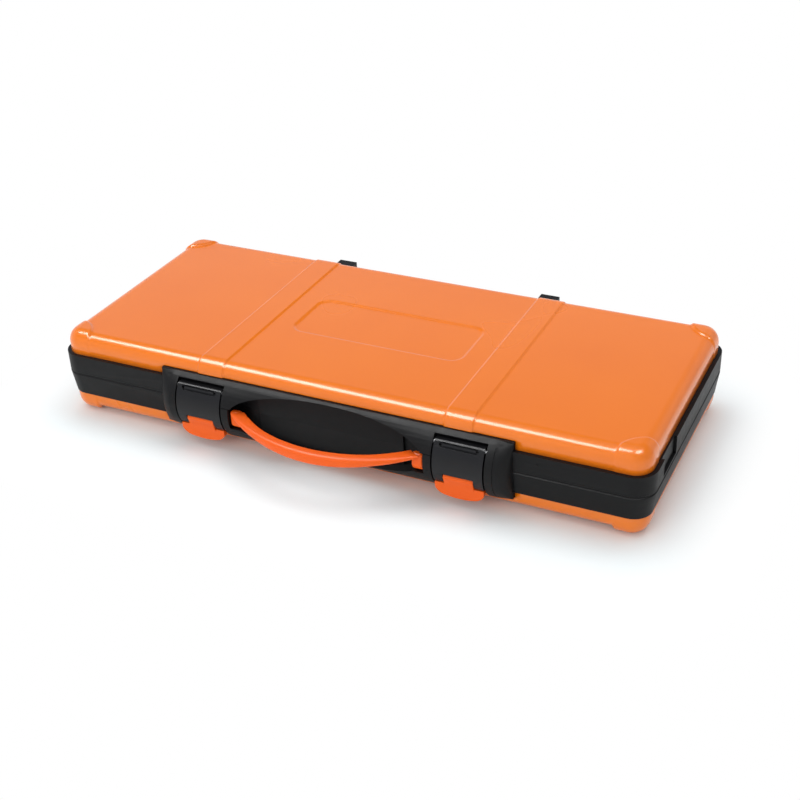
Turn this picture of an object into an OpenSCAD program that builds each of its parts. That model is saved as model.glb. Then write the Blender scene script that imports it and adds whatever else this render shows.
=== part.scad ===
// Hard tool case: two pressed sheet shells held in plastic belt frames, hinged at
// the back, with a swinging bow handle and two pull latches at the front.
// X runs along the case, the front faces -Y, and the feet stand on z = 0.

/* [Case] */
// Length of the belt frames
frame_len = 400; // [360:5:460]
// Depth of the belt frames, front to back
frame_dep = 170; // [160:5:200]
// Plan radius of the belt frames' corners
frame_corner_r = 14; // [10:1:20]
// How far the belt frames stand proud of the shells on each side
belt_proud = 3; // [2.5:0.5:4]
// Draw-in of the base frame's outer face at its lower edge
belt_taper = 2; // [0.5:0.5:2]
// Height of the base frame, up to the parting plane
base_frame_h = 15.5; // [14:0.5:20]
// Height of the lid frame above the parting plane
lid_frame_h = 13.5; // [12:0.5:18]
// Height of the base shell that shows below its frame
base_shell_h = 11.5; // [10:0.5:30]
// Height of the lid shell that shows above its frame
lid_shell_h = 14; // [12:0.5:30]
// Depth of the step along the parting line
parting_step = 0.5; // [0.3:0.1:0.8]
// Height of that step
step_h = 1; // [0.6:0.1:1.5]

/* [Shells] */
// Thickness of the pressed sheet
sheet_t = 1; // [0.8:0.1:1.5]
// Radius of the pressed edge between a shell's panel and its skirt
edge_r = 8; // [5:0.5:9]
// Depth of the grooves that the sheet edges sit in
groove_depth = 5; // [4:0.5:6]
// Clearance of the sheet on each side of its groove
groove_clear = 0.05; // [0.02:0.01:0.1]
// Thickness of the inner lip that holds the sheet
lip_t = 2; // [1.5:0.1:2.5]
// Height of the base shell's corner feet
foot_h = 2.5; // [1.5:0.5:4]
// Height of the lid's corner pads
pad_h = 1.5; // [1:0.25:2]
// Radius of the corner feet and pads about the case corner
pad_r = 20.5; // [16:0.5:24]
// How far feet and pads bulge from the skirt
pad_side = 0.4; // [0.2:0.1:0.8]
// Distance of the lid's pressed bands from the middle of the case
band_x = 84; // [70:1:100]
// Width of a pressed band
band_w = 18; // [12:1:24]
// Height of a pressed band
band_h = 0.8; // [0.4:0.1:1]
// Length of the sunk plaque in the lid
plaque_len = 120; // [90:1:130]
// Depth of the plaque, front to back
plaque_dep = 47; // [36:1:60]
// Corner radius of the plaque
plaque_r = 9; // [5:1:12]
// How deep the plaque is pressed in
plaque_sink = 0.8; // [0.4:0.1:1]

/* [Front block] */
// Length of the bulging block beyond a latch plate
block_end = 15.25; // [14:0.25:20]
// How far the block stands proud of the frame
block_proud = 9.7; // [9:0.1:11]
// Radius of the block's rounded front
block_r = 24; // [23:0.5:27]
// Height of the block's fullest line above the feet
block_mid_z = 28.5; // [27:0.5:30]
// Rise of the block above the lid frame's upper edge
block_rise = 5.5; // [3:0.5:6]
// Drop of the block below the base frame's lower edge
block_drop = 4.2; // [2:0.2:4.4]
// Length of the block's rounded end caps
cap_len = 9.6; // [8:0.2:10]
// Step from the block's middle down to its end caps
cap_step = 0.5; // [0.2:0.1:0.8]
// Gap between the block and the notched shells
notch_gap = 0.2; // [0.1:0.05:0.4]

/* [Scoop] */
// Gap between the handle's ends and the ends of the finger scoop
scoop_gap = 0.6; // [0.4:0.1:1]
// Rise of the scoop's brow above the parting plane
scoop_rise = 17.9; // [14:0.1:18]
// Fullness of the scoop's outline, where 2 is an ellipse
scoop_fullness = 2.3; // [2:0.1:2.6]
// Length of the deeper pocket at each end of the scoop
pocket_len = 17; // [14:0.5:24]
// Thickness of the scoop's back wall
scoop_wall_t = 5; // [3.5:0.5:6]
// Thickness of the wall behind the handle pockets
pocket_wall_t = 2.8; // [2:0.2:3]

/* [Handle] */
// Half length over the handle's ends
handle_half = 65.6; // [60:0.2:74]
// Width of the handle's arms at their ends
arm_w = 7.6; // [6:0.2:8]
// Reach of the handle in front of the frame
handle_reach = 32; // [29:0.2:40]
// Width of the handle's grip in the middle
grip_w = 7.2; // [6:0.1:12]
// Thickness of the handle in the middle
handle_t = 8; // [7:0.25:9]
// Rise of the handle's arched underside towards its arms
handle_arch = 5.8; // [4:0.1:6]
// Height of the handle's top face above the parting plane
handle_rise = 3; // [2:0.5:3.5]
// Diameter of the handle's pivot pins
handle_pin_d = 4; // [3:0.5:5]
// Radius of the handle's pivot bosses
handle_boss_r = 4.5; // [4:0.1:4.6]
// Distance of the handle's pivots in front of the frame
handle_pin_out = 3.5; // [3:0.1:4]
// Depth of the handle's pivots below the parting plane
handle_pin_drop = 4.7; // [4.6:0.1:5.5]
// Length of a handle pin inside the block
handle_pin_grip = 4; // [3:0.5:4.5]

/* [Latches] */
// Gap between a handle's end and the latch plate beside it
latch_gap = 6.65; // [6.2:0.05:9]
// Width of a latch plate
latch_w = 31.5; // [28:0.5:34]
// Running clearance of the moving latch parts
latch_clear = 0.35; // [0.3:0.05:0.5]
// Gap behind a latch plate in its channel
latch_back = 1.5; // [1.4:0.1:1.8]
// Gap on each side of a latch plate in its channel
latch_side = 1; // [0.8:0.1:1.2]
// Thickness of a latch plate's web
latch_t = 2.6; // [2.2:0.1:3]
// Thickness of a latch plate's side flanges
flange_t = 3; // [2.5:0.1:3.5]
// Height of a latch plate's lower edge above the feet
latch_foot_z = 16.3; // [15.5:0.1:17]
// Width of the notch that the tab's neck passes
notch_w = 19.5; // [17:0.5:22]
// Height of the latch pivot above the parting plane
latch_pin_rise = 11.7; // [11:0.1:12.5]
// Radius of the latch plate's knuckle
knuckle_r = 2.6; // [2.4:0.1:2.8]
// Height of a plate's upper edge above its pivot
latch_head = 2.7; // [2.6:0.1:3.2]
// Height of the recess above the latch pivot
recess_rise = 5; // [4.5:0.1:5.5]
// Diameter of the latch pins
latch_pin_d = 2.5; // [2:0.1:3]
// Length of a latch pin's end inside the block
latch_pin_grip = 4; // [3:0.5:6]
// Depth of the latch channel behind the frame's front face
channel_sink = 0.8; // [0.4:0.1:1]
// Height of the catch rib in the base's latch channel
catch_h = 2; // [1.5:0.25:2.5]
// How far the catch rib stands out of the channel
catch_out = 1.4; // [1:0.1:1.8]
// Length of the slot pressed into a latch plate
slot_len = 24.8; // [20:0.2:26]
// Width of that slot
slot_w = 3.4; // [2.8:0.1:4]
// Depth of that slot
slot_sink = 0.8; // [0.5:0.1:1]
// Height of that slot above the parting plane
slot_rise = 12.1; // [10:0.1:12.4]
// Width of the bar left standing along the slot
slot_bar = 1.2; // [0.8:0.1:1.6]

/* [Release tabs] */
// Width of a release tab's paddle
paddle_w = 31; // [27:0.5:32]
// Height of a paddle
paddle_h = 8.9; // [7:0.1:9.5]
// Thickness of a paddle
paddle_t = 3.2; // [2.5:0.1:3.5]
// Corner radius of a paddle's lower edge
paddle_r = 5.5; // [3:0.5:6]
// Gap between a latch plate's lower edge and the paddle
paddle_gap = 0.9; // [0.6:0.1:1.5]
// How far the paddle stands out beyond the block's round
paddle_out = 0.6; // [0:0.1:1]
// Width of a release tab's neck
neck_w = 18.6; // [15:0.2:19]
// Thickness of a release tab's neck
neck_t = 2.6; // [2:0.1:3]
// Radius of a release tab's boss
tab_boss_r = 2.2; // [2:0.1:2.4]
// Diameter of the tab pins
tab_pin_d = 2; // [1.6:0.1:2.2]
// Height of the tab pivot above the plate's lower edge
tab_pin_rise = 4.45; // [4:0.05:5]
// Height of the ears that hold a tab pin
ear_h = 7.5; // [7:0.5:9]
// Height of the hook below the catch rib
hook_h = 2; // [1:0.25:3]
// Gap between the hook and the catch rib above it
catch_gap = 0.6; // [0.3:0.1:1]

/* [Hinges] */
// Distance of a hinge from the middle of the case
hinge_x = 77; // [60:1:120]
// Width of the lid's hinge lug
lug_w = 13; // [10:0.5:18]
// Width of each ear on the base frame
ear_w = 5; // [4:0.5:8]
// Radius of the lug's knuckle and of the ears
hinge_r = 4.5; // [4.2:0.1:4.6]
// Distance of the hinge pin behind the frame
hinge_out = 5; // [5:0.1:6]
// Diameter of a hinge pin
hinge_pin_d = 4; // [3:0.5:5]
// Rise of a hinge lug above the lid frame's upper edge
lug_rise = 8; // [0:0.5:10]
// Gap between the base frame and the plate of a hinge lug
lug_gap = 1.5; // [1:0.25:3]
// Height of an ear's foot above the base frame's lower edge
ear_foot = 2; // [1:0.5:4]
// Gap on each side of a lug between its ears
lug_side_gap = 0.35; // [0.3:0.05:0.6]
// Running clearance round all pivot pins
pin_clear = 0.05; // [0.02:0.01:0.08]

/* [Inside] */
// Gap between the tray or the lid foam and the frames
liner_gap = 0.8; // [0.5:0.1:1.5]
// Thickness of the tray's walls, floor and dividers
tray_t = 1.8; // [1.2:0.1:2.5]
// Depth of the tray's rim below the parting plane
tray_drop = 1.5; // [1:0.25:4]
// Corner radius of the tray
tray_r = 8; // [5:1:9]
// Radius of the tray's lower edge
tray_edge_r = 5; // [4:0.5:7]
// Height by which the dividers stay below the tray's rim
divider_drop = 2; // [0:0.5:6]
// Depth of the front tray well
front_well_dep = 52; // [35:1:70]
// Distances of the rear wells' dividers from the middle
rear_divider_x = 100; // [85:1:130]
// Distance of the front well's divider from the middle
front_divider_x = 92; // [60:1:130]
// Thickness of the lid foam
foam_t = 7; // [4:0.5:10]
// Corner radius of the lid foam
foam_r = 12; // [8:1:16]
// Radius of a rivet's shank
rivet_r = 1.6; // [1.2:0.1:2]
// Radius of a rivet's head
rivet_head_r = 2.4; // [2:0.1:2.5]
// Height of a rivet's head
rivet_head_h = 0.7; // [0.5:0.1:0.75]
// Spacing of the rivets along the back
rivet_pitch = 150; // [110:5:160]
// Half spacing of the rivets on the ends
rivet_end_y = 42; // [30:1:55]
// Distance of the outer front rivets from the middle
rivet_front_x = 152; // [130:1:160]

/* [End recess] */
// Width of the recess in the right end of the lid frame
recess_w = 26; // [18:1:40]
// Distance of its middle in front of the case's middle
recess_y = 47; // [30:1:55]
// Depth of the recess
recess_sink = 1.8; // [1:0.1:2]
// Height of the web left above the parting plane
recess_sill = 2; // [1:0.5:4]
// Distance of the front frame's moulded pip from the middle
pip_x = 133; // [125:1:160]
// Height of the pip above the parting plane
pip_rise = 7.8; // [5:0.2:10]
// Radius of the pip
pip_r = 1.1; // [0.8:0.1:1.5]
// How far the pip stands out
pip_out = 0.3; // [0.2:0.1:0.5]

/* [Hidden] */
$fn = 64;
tiny = 0.01;
over = 1;

// Levels
base_z = foot_h;
belt_z = base_z + base_shell_h;
part_z = belt_z + base_frame_h;
skirt_z = part_z + lid_frame_h;
lid_z = skirt_z + lid_shell_h;
block_top = skirt_z + block_rise;
block_bot = belt_z - block_drop;

// Plan sizes
shell_len = frame_len - 2 * belt_proud;
shell_dep = frame_dep - 2 * belt_proud;
shell_r = frame_corner_r - belt_proud;
groove_t = sheet_t + 2 * groove_clear;
frame_t = belt_proud + groove_t - groove_clear + lip_t;
front_y = -frame_dep / 2;
rear_y = frame_dep / 2;
wall_y = front_y + frame_t;
inner_len = frame_len - 2 * frame_t;
inner_dep = frame_dep - 2 * frame_t;
rivet_in = groove_depth / 2;

// Front block
latch_x = handle_half + latch_gap + latch_w / 2;
block_half = latch_x + latch_w / 2 + block_end;
block_y = front_y - block_proud + block_r;
seat_y = block_front(block_top);
cap_r = seat_y - block_y + block_r - cap_step;
channel_y = front_y + channel_sink;
pocket_half = latch_w / 2 + latch_side;
cut_y = front_y - block_proud - over;
notch_y = wall_y - parting_step;

// Scoop
scoop_half = handle_half + scoop_gap;
scoop_wall_half = scoop_half - pocket_len;

// Handle
handle_top = part_z + handle_rise;
handle_y = front_y - handle_pin_out;
handle_z = part_z - handle_pin_drop;
pocket_y = wall_y - pocket_wall_t;
arm_in = handle_half - arm_w;
grip_out_y = front_y - handle_reach;
grip_in_y = grip_out_y + grip_w;
arm_out_y = handle_y - handle_boss_r;
swing_r = norm([handle_boss_r, handle_top - handle_z]) + latch_clear;
cheek_z = handle_z + swing_r;
cheek_x = latch_x - pocket_half;

// Latches
latch_pin_z = part_z + latch_pin_rise;
latch_pin_y = channel_y - latch_back - knuckle_r;
latch_top_z = latch_pin_z + latch_head;
head_in_y = block_y - sqrt(pow(block_r - latch_t, 2) - pow(latch_top_z - block_mid_z, 2));
head_reach = max(head_in_y - latch_pin_y, latch_pin_y - block_front(latch_top_z));
head_swing_r = norm([head_reach, latch_head]) + latch_clear;
slot_tilt = asin((part_z + slot_rise - block_mid_z) / block_r);
tab_pin_z = latch_foot_z + tab_pin_rise;
tab_pin_y = block_front(tab_pin_z) + tab_boss_r;
notch_h = tab_pin_rise + tab_boss_r + latch_clear;
paddle_top_z = latch_foot_z - paddle_gap;
paddle_front_y = block_front(paddle_top_z) - paddle_out;
hook_y = channel_y - catch_out - latch_clear;
catch_z = paddle_top_z + catch_gap;

// Hinges
hinge_y = rear_y + hinge_out;
hinge_z = part_z;
rear_reach = hinge_y + hinge_r;
case_y = (-grip_out_y - rear_reach) / 2;

// Inside
tray_len = inner_len - 2 * liner_gap;
tray_dep = inner_dep - 2 * liner_gap;
tray_z = base_z + sheet_t;
tray_top = part_z - tray_drop;
divider_y = -tray_dep / 2 + tray_t + front_well_dep;
foam_top = lid_z - sheet_t;

// Front face of the block at a given height
function block_front(z) = block_y - sqrt(block_r * block_r - pow(z - block_mid_z, 2));

// One point of the scoop's superellipse
function scoop_point(a) = [
    scoop_half * sign(cos(a)) * pow(abs(cos(a)), 2 / scoop_fullness),
    scoop_rise * sign(sin(a)) * pow(abs(sin(a)), 2 / scoop_fullness)
];

// Radius of the arc through (half, 0) and (0, -sag)
function bow_r(half, sag) = (half * half + sag * sag) / (2 * sag);

module at_case() {
    translate([0, case_y, 0]) children();
}

// Sweeps a profile round a rounded rectangle: its x = r lies on the outline
module belt(len, dep, r) {
    for (sx = [-1, 1], sy = [-1, 1])
        translate([sx * (len / 2 - r), sy * (dep / 2 - r), 0])
            rotate([0, 0, sx > 0 ? (sy > 0 ? 0 : 270) : (sy > 0 ? 90 : 180)])
                rotate_extrude(angle = 90) children();
    for (s = [0, 180]) {
        rotate([0, 0, s]) translate([len / 2 - r, dep / 2 - r, 0])
            rotate([90, 0, 0]) linear_extrude(height = dep - 2 * r) children();
        rotate([0, 0, s]) translate([-len / 2 + r, dep / 2 - r, 0])
            rotate([90, 0, 90]) linear_extrude(height = len - 2 * r) children();
    }
}

// Half section of a pan's block with a rounded upper edge
module pan_section(r, h, edge) {
    square([r - edge, h]);
    square([r, h - edge]);
    translate([r - edge, h - edge]) intersection() {
        circle(edge);
        square(edge);
    }
}

// Solid pan standing on z = 0, rounded at its top edge
module pan(len, dep, r, h, edge) {
    belt(len, dep, r) pan_section(r, h, edge);
    translate([-len / 2 + r, -dep / 2 + r, 0]) cube([len - 2 * r, dep - 2 * r, h]);
}

// Quarter disc column over each corner of a shell
module corner_columns(r, h) {
    for (sx = [-1, 1], sy = [-1, 1])
        translate([sx * shell_len / 2, sy * shell_dep / 2, 0]) cylinder(r = r, h = h);
}

module rounded_plate(len, dep, r, h) {
    translate([-len / 2 + r, -dep / 2, 0]) cube([len - 2 * r, dep, h]);
    translate([-len / 2, -dep / 2 + r, 0]) cube([len, dep - 2 * r, h]);
    for (sx = [-1, 1], sy = [-1, 1])
        translate([sx * (len / 2 - r), sy * (dep / 2 - r), 0]) cylinder(r = r, h = h);
}

// Outer form of a shell, panel up, with its corner pads
module shell_outer(h, pad, in) {
    pan(shell_len - 2 * in, shell_dep - 2 * in, shell_r - in, h - in, edge_r - in);
    intersection() {
        pan(shell_len + 2 * pad_side - 2 * in, shell_dep + 2 * pad_side - 2 * in,
            shell_r + pad_side - in, h + pad - in, edge_r - in);
        corner_columns(pad_r - in, h + pad);
    }
}

// The bulging block between two heights: its round middle, a seat behind it and an
// end cap on each side, turned from the same round
module block_solid(z0, z1) {
    middle = block_half - cap_len;
    intersection() {
        translate([-middle, block_y, block_mid_z]) rotate([0, 90, 0])
            cylinder(r = block_r, h = 2 * middle, $fn = 128);
        translate([-middle, cut_y, z0]) cube([2 * middle, wall_y - cut_y, z1 - z0]);
    }
    translate([-block_half, seat_y, z0]) cube([2 * block_half, wall_y - seat_y, z1 - z0]);
    for (s = [0, 1]) mirror([s, 0, 0])
        translate([block_half - cap_r, seat_y, 0]) rotate([0, 0, 270])
            rotate_extrude(angle = 90) cap_section(z0, z1);
}

module cap_section(z0, z1) {
    intersection() {
        translate([cap_r - block_r + cap_step, block_mid_z]) circle(block_r - cap_step, $fn = 128);
        translate([0, z0]) square([cap_r, z1 - z0]);
    }
}

// Finger scoop with the deeper handle pockets at its ends
module scoop_cut() {
    intersection() {
        translate([0, wall_y, part_z]) rotate([90, 0, 0])
            linear_extrude(height = wall_y - cut_y)
                polygon([for (a = [0:5:355]) scoop_point(a)]);
        union() {
            translate([-block_half, cut_y, block_bot])
                cube([2 * block_half, wall_y - scoop_wall_t - cut_y, block_top - block_bot]);
            for (s = [0, 1]) mirror([s, 0, 0])
                translate([scoop_wall_half, cut_y, block_bot])
                    cube([scoop_half, pocket_y - cut_y, block_top - block_bot]);
        }
    }
}

// Clearance round a handle end as it swings
module handle_pocket_cut() {
    low_z = handle_z - handle_boss_r - latch_clear;
    width = arm_w + 2 * scoop_gap;
    for (s = [0, 1]) mirror([s, 0, 0]) translate([arm_in - scoop_gap, 0, 0]) {
        intersection() {
            translate([0, handle_y, handle_z]) rotate([0, 90, 0]) cylinder(r = swing_r, h = width);
            translate([0, handle_y - swing_r, handle_z])
                cube([width, pocket_y - handle_y + swing_r, swing_r]);
        }
        translate([0, handle_y, handle_z]) rotate([0, 90, 0])
            cylinder(r = handle_boss_r + latch_clear, h = width);
        translate([0, cut_y, low_z])
            cube([width, handle_y - cut_y, handle_z + swing_r - low_z]);
    }
}

// Base wall beside each handle end, which stands up into the lid
module cheeks() {
    for (s = [0, 1]) mirror([s, 0, 0]) intersection() {
        block_solid(part_z - tiny, cheek_z);
        translate([scoop_half, cut_y, block_bot])
            cube([cheek_x - scoop_half, pocket_y - cut_y, block_top - block_bot]);
    }
}

// Room for a cheek and for the handle end beside it
module cheek_cut() {
    for (s = [0, 1]) mirror([s, 0, 0])
        translate([arm_in - scoop_gap, cut_y, block_bot])
            cube([cheek_x + latch_clear - arm_in + scoop_gap, pocket_y + latch_clear - cut_y,
                  cheek_z + latch_clear - block_bot]);
}

module latch_channel_cut(z0, z1) {
    for (s = [-1, 1])
        translate([s * latch_x - pocket_half, cut_y, z0])
            cube([2 * pocket_half, channel_y - cut_y, z1 - z0]);
}

// Frame section: outer lip, groove for the sheet and inner lip
module frame_section(h, taper) {
    r = frame_corner_r;
    difference() {
        polygon([
            [r - frame_t, 0], [r - taper, 0], [r, h - step_h],
            [r - parting_step, h - step_h + parting_step], [r - parting_step, h],
            [r - frame_t, h]
        ]);
        translate([r - frame_t + lip_t, -over]) square([groove_t, groove_depth + over]);
    }
}

module rivet_places() {
    for (x = [-rivet_pitch, 0, rivet_pitch])
        translate([x, shell_dep / 2 - sheet_t - lip_t, 0]) rotate([-90, 0, 0]) children();
    for (x = [-rivet_front_x, rivet_front_x])
        translate([x, -shell_dep / 2 + sheet_t + lip_t, 0]) rotate([90, 0, 0]) children();
    for (s = [-1, 1], y = [-rivet_end_y, rivet_end_y])
        translate([s * (shell_len / 2 - sheet_t - lip_t), y, 0])
            rotate([0, s * 90, 0]) children();
}

module rivet_holes(z) {
    translate([0, 0, z]) rivet_places() translate([0, 0, -over])
        cylinder(r = rivet_r + pin_clear, h = over + lip_t + sheet_t + groove_clear);
}

module rivets(z) {
    translate([0, 0, z]) rivet_places() translate([0, 0, -groove_clear - rivet_head_h]) {
        cylinder(r = rivet_head_r, h = rivet_head_h);
        cylinder(r = rivet_r, h = rivet_head_h + groove_clear + lip_t + sheet_t);
    }
}

// Opening over the front block in a shell's skirt
module skirt_notch(z, h) {
    translate([-block_half - notch_gap, -frame_dep, z])
        cube([2 * block_half + 2 * notch_gap, frame_dep + notch_y, h]);
}

module base_shell() {
    color("#eb7a28") at_case() difference() {
        translate([0, 0, belt_z]) mirror([0, 0, 1])
            shell_outer(base_shell_h, foot_h, 0);
        translate([0, 0, belt_z + tiny]) mirror([0, 0, 1])
            shell_outer(base_shell_h + tiny, foot_h, sheet_t);
        skirt_notch(block_bot - notch_gap, belt_z);
    }
    color("#eb7a28") at_case() difference() {
        translate([0, 0, belt_z]) belt(shell_len, shell_dep, shell_r)
            translate([shell_r - sheet_t, 0]) square([sheet_t, groove_depth]);
        skirt_notch(belt_z - over, belt_z);
        rivet_holes(belt_z + rivet_in);
    }
}

module base_frame() {
    color("#2c2c2e") at_case() {
        difference() {
            union() {
                translate([0, 0, belt_z]) belt(frame_len, frame_dep, frame_corner_r)
                    frame_section(base_frame_h, belt_taper);
                block_solid(block_bot, part_z);
                cheeks();
            }
            scoop_cut();
            handle_pocket_cut();
            latch_channel_cut(block_bot - over, cheek_z + over);
            handle_pin_cuts();
            rivet_holes(belt_z + rivet_in);
        }
        for (s = [-1, 1])
            translate([s * latch_x - neck_w / 2, channel_y - catch_out, catch_z])
                cube([neck_w, catch_out + tiny, catch_h]);
        for (s = [-1, 1], e = [0, 1]) translate([s * hinge_x, 0, 0]) mirror([e, 0, 0])
            translate([lug_w / 2 + lug_side_gap, 0, 0]) hinge_ear();
    }
}

module hinge_ear() {
    root_y = rear_y - belt_taper - parting_step;
    difference() {
        union() {
            translate([0, hinge_y, hinge_z]) rotate([0, 90, 0]) cylinder(r = hinge_r, h = ear_w);
            translate([ear_w, 0, 0]) rotate([0, -90, 0]) linear_extrude(height = ear_w)
                polygon([
                    [part_z, root_y], [part_z, hinge_y], [part_z - hinge_r, hinge_y],
                    [belt_z + ear_foot, rear_y - belt_taper], [belt_z + ear_foot, root_y]
                ]);
        }
        translate([-over, hinge_y, hinge_z]) rotate([0, 90, 0])
            cylinder(r = hinge_pin_d / 2 + pin_clear, h = ear_w + 2 * over);
    }
}

module handle_pin_cuts() {
    for (s = [0, 1]) mirror([s, 0, 0])
        translate([arm_in - over, handle_y, handle_z]) rotate([0, 90, 0])
            cylinder(r = handle_pin_d / 2 + pin_clear,
                     h = over + arm_w + scoop_gap + handle_pin_grip + pin_clear);
}

module base_rivets() {
    color("silver") at_case() rivets(belt_z + rivet_in);
}

// Solid pan with its rounded edge down
module sunk_pan(len, dep, r, h, edge) {
    translate([0, 0, h]) mirror([0, 0, 1]) pan(len, dep, r, h, edge);
}

module tool_tray() {
    height = tray_top - tray_z;
    color("#3a3a3d") at_case() translate([0, 0, tray_z]) difference() {
        sunk_pan(tray_len, tray_dep, tray_r, height, tray_edge_r);
        difference() {
            translate([0, 0, tray_t])
                sunk_pan(tray_len - 2 * tray_t, tray_dep - 2 * tray_t, tray_r - tray_t,
                         height, tray_edge_r - tray_t);
            tray_dividers(height - divider_drop);
        }
    }
}

module tray_dividers(h) {
    translate([-tray_len / 2, divider_y, 0]) cube([tray_len, tray_t, h]);
    for (x = [-rear_divider_x, 0, rear_divider_x])
        translate([x - tray_t / 2, divider_y, 0]) cube([tray_t, tray_dep, h]);
    translate([front_divider_x - tray_t / 2, divider_y - tray_dep, 0])
        cube([tray_t, tray_dep, h]);
}

// The two bands pressed across the lid, with the same form inside and out
module bands(in) {
    intersection() {
        pan(shell_len - 2 * in, shell_dep + 2 * band_h - 2 * in, shell_r + band_h - in,
            lid_shell_h + band_h - in, edge_r + band_h - in);
        for (s = [-1, 1])
            translate([s * band_x - band_w / 2 + in, -frame_dep, 0])
                cube([band_w - 2 * in, 2 * frame_dep, lid_z]);
    }
}

module lid_shell() {
    color("#eb7a28") at_case() difference() {
        union() {
            translate([0, 0, skirt_z]) difference() {
                union() {
                    shell_outer(lid_shell_h, pad_h, 0);
                    bands(0);
                }
                difference() {
                    union() {
                        translate([0, 0, -tiny]) shell_outer(lid_shell_h + tiny, pad_h, sheet_t);
                        translate([0, 0, -tiny]) bands(sheet_t);
                    }
                    translate([0, 0, lid_shell_h - sheet_t - plaque_sink])
                        rounded_plate(plaque_len + 2 * sheet_t, plaque_dep + 2 * sheet_t,
                                      plaque_r + sheet_t, plaque_sink + sheet_t);
                }
                translate([0, 0, lid_shell_h - plaque_sink])
                    rounded_plate(plaque_len, plaque_dep, plaque_r, plaque_sink + over);
            }
            translate([0, 0, skirt_z - groove_depth]) belt(shell_len, shell_dep, shell_r)
                translate([shell_r - sheet_t, 0]) square([sheet_t, groove_depth]);
        }
        skirt_notch(skirt_z - groove_depth - over, groove_depth + over + block_rise + notch_gap);
        rivet_holes(skirt_z - rivet_in);
    }
}

module lid_frame() {
    color("#2c2c2e") at_case() {
        difference() {
            union() {
                translate([0, 0, skirt_z]) mirror([0, 0, 1])
                    belt(frame_len, frame_dep, frame_corner_r) frame_section(lid_frame_h, 0);
                block_solid(part_z, block_top);
            }
            scoop_cut();
            cheek_cut();
            latch_channel_cut(part_z - over, latch_pin_z);
            for (s = [-1, 1]) translate([s * latch_x - pocket_half, 0, 0]) {
                translate([0, latch_pin_y, latch_pin_z]) rotate([0, 90, 0])
                    cylinder(r = head_swing_r, h = 2 * pocket_half);
                translate([0, cut_y, latch_pin_z - tiny])
                    cube([2 * pocket_half, front_y - cut_y, recess_rise + tiny]);
                translate([-latch_pin_grip, latch_pin_y, latch_pin_z]) rotate([0, 90, 0])
                    cylinder(r = latch_pin_d / 2 + pin_clear,
                             h = 2 * pocket_half + 2 * latch_pin_grip);
            }
            rivet_holes(skirt_z - rivet_in);
            translate([frame_len / 2 - recess_sink, -recess_y - recess_w / 2, part_z + recess_sill])
                cube([recess_sink + over, recess_w, lid_frame_h]);
        }
        translate([pip_x, front_y + over, part_z + pip_rise]) rotate([90, 0, 0])
            cylinder(r = pip_r, h = over + pip_out);
        for (s = [-1, 1]) translate([s * hinge_x - lug_w / 2, 0, 0]) hinge_lug();
    }
}

module hinge_lug() {
    difference() {
        union() {
            translate([0, hinge_y, hinge_z]) rotate([0, 90, 0]) cylinder(r = hinge_r, h = lug_w);
            translate([0, rear_y - over, part_z + lug_gap])
                cube([lug_w, hinge_y + hinge_r - rear_y + over,
                      lid_frame_h + lug_rise - lug_gap]);
            translate([0, hinge_y, hinge_z]) cube([lug_w, hinge_r, hinge_r]);
        }
        translate([-over, hinge_y, hinge_z]) rotate([0, 90, 0])
            cylinder(r = hinge_pin_d / 2 + pin_clear, h = lug_w + 2 * over);
    }
}

module lid_rivets() {
    color("silver") at_case() rivets(skirt_z - rivet_in);
}

module lid_foam() {
    sink_len = plaque_len + 2 * sheet_t + liner_gap;
    sink_dep = plaque_dep + 2 * sheet_t + liner_gap;
    color("#4a4a4e") at_case() difference() {
        translate([0, 0, foam_top - foam_t])
            rounded_plate(shell_len - 2 * edge_r - 2 * liner_gap,
                          shell_dep - 2 * edge_r - 2 * liner_gap, foam_r, foam_t);
        translate([0, 0, foam_top - plaque_sink - groove_clear])
            rounded_plate(sink_len, sink_dep, plaque_r + sheet_t, plaque_sink + over);
    }
}

module handle() {
    out_r = bow_r(handle_half, arm_out_y - grip_out_y);
    in_r = bow_r(arm_in, handle_y - grip_in_y);
    arch_r = bow_r(arm_in, handle_arch);
    color("#f06a28") at_case() difference() {
        union() {
            translate([0, 0, handle_top - handle_t]) intersection() {
                difference() {
                    translate([0, grip_out_y + out_r, 0]) cylinder(r = out_r, h = handle_t, $fn = 180);
                    translate([0, grip_in_y + in_r, -over])
                        cylinder(r = in_r, h = handle_t + 2 * over, $fn = 180);
                }
                translate([-handle_half, grip_out_y - over, 0])
                    cube([2 * handle_half, handle_y - grip_out_y + over, handle_t]);
                translate([0, handle_y, arch_r]) rotate([90, 0, 0])
                    cylinder(r = arch_r, h = handle_y - grip_out_y + over, $fn = 180);
            }
            for (s = [0, 1]) mirror([s, 0, 0]) {
                translate([arm_in, handle_y, handle_z]) rotate([0, 90, 0])
                    cylinder(r = handle_boss_r, h = arm_w);
                translate([arm_in, handle_y - handle_boss_r, handle_z - handle_boss_r])
                    cube([arm_w, handle_boss_r, handle_top - handle_z + handle_boss_r]);
            }
        }
        for (s = [0, 1]) mirror([s, 0, 0])
            translate([arm_in - over, handle_y, handle_z]) rotate([0, 90, 0])
                cylinder(r = handle_pin_d / 2 + pin_clear, h = arm_w + 2 * over);
    }
}

module handle_pin(side) {
    color("silver") at_case() mirror([side < 0 ? 1 : 0, 0, 0])
        translate([arm_in, handle_y, handle_z]) rotate([0, 90, 0])
            cylinder(r = handle_pin_d / 2, h = arm_w + scoop_gap + handle_pin_grip);
}

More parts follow.
